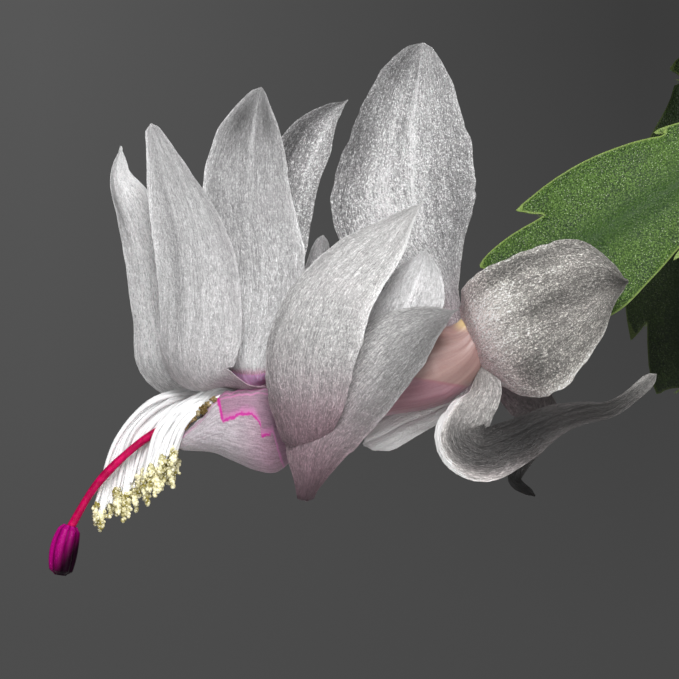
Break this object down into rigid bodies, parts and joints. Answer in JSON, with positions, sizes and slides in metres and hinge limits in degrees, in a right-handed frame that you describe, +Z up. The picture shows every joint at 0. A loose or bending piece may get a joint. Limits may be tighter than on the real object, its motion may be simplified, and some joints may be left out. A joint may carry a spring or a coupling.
{
  "type": "potted christmas cactus",
  "caption": "Christmas cactus in a plain clay pot: arching stems of flat toothed segments, with a white bloom with a pink throat hanging from one stem tip.",
  "frame": {"origin": "centre of the flat underside of the pot", "axes": "+Z up along the pot's axis; the stem with the bloom arches over towards -X, and the bloom shows its side to -Y"},
  "size_m": [0.4102, 0.3635, 0.2672],
  "materials": {
    "clay": "matte",
    "soil": "matte",
    "stem_green": "satin",
    "petal": "satin",
    "filament": "satin",
    "pistil": "satin"
  },
  "bodies": {
    "root": {"pot": "clay", "soil": "soil", "stem_01": "stem_green", "stem_02": "stem_green", "stem_03": "stem_green", "stem_04": "stem_green", "stem_05": "stem_green", "stem_06": "stem_green", "stem_07": "stem_green", "stem_08": "stem_green", "stem_09": "stem_green", "stem_10": "stem_green", "stem_11": "stem_green", "stem_with_bloom": "stem_green", "stem_behind_bloom": "stem_green", "bloom_perianth": "petal", "bloom_stamens": "filament", "bloom_pistil": "pistil"}
  },
  "joints": []
}
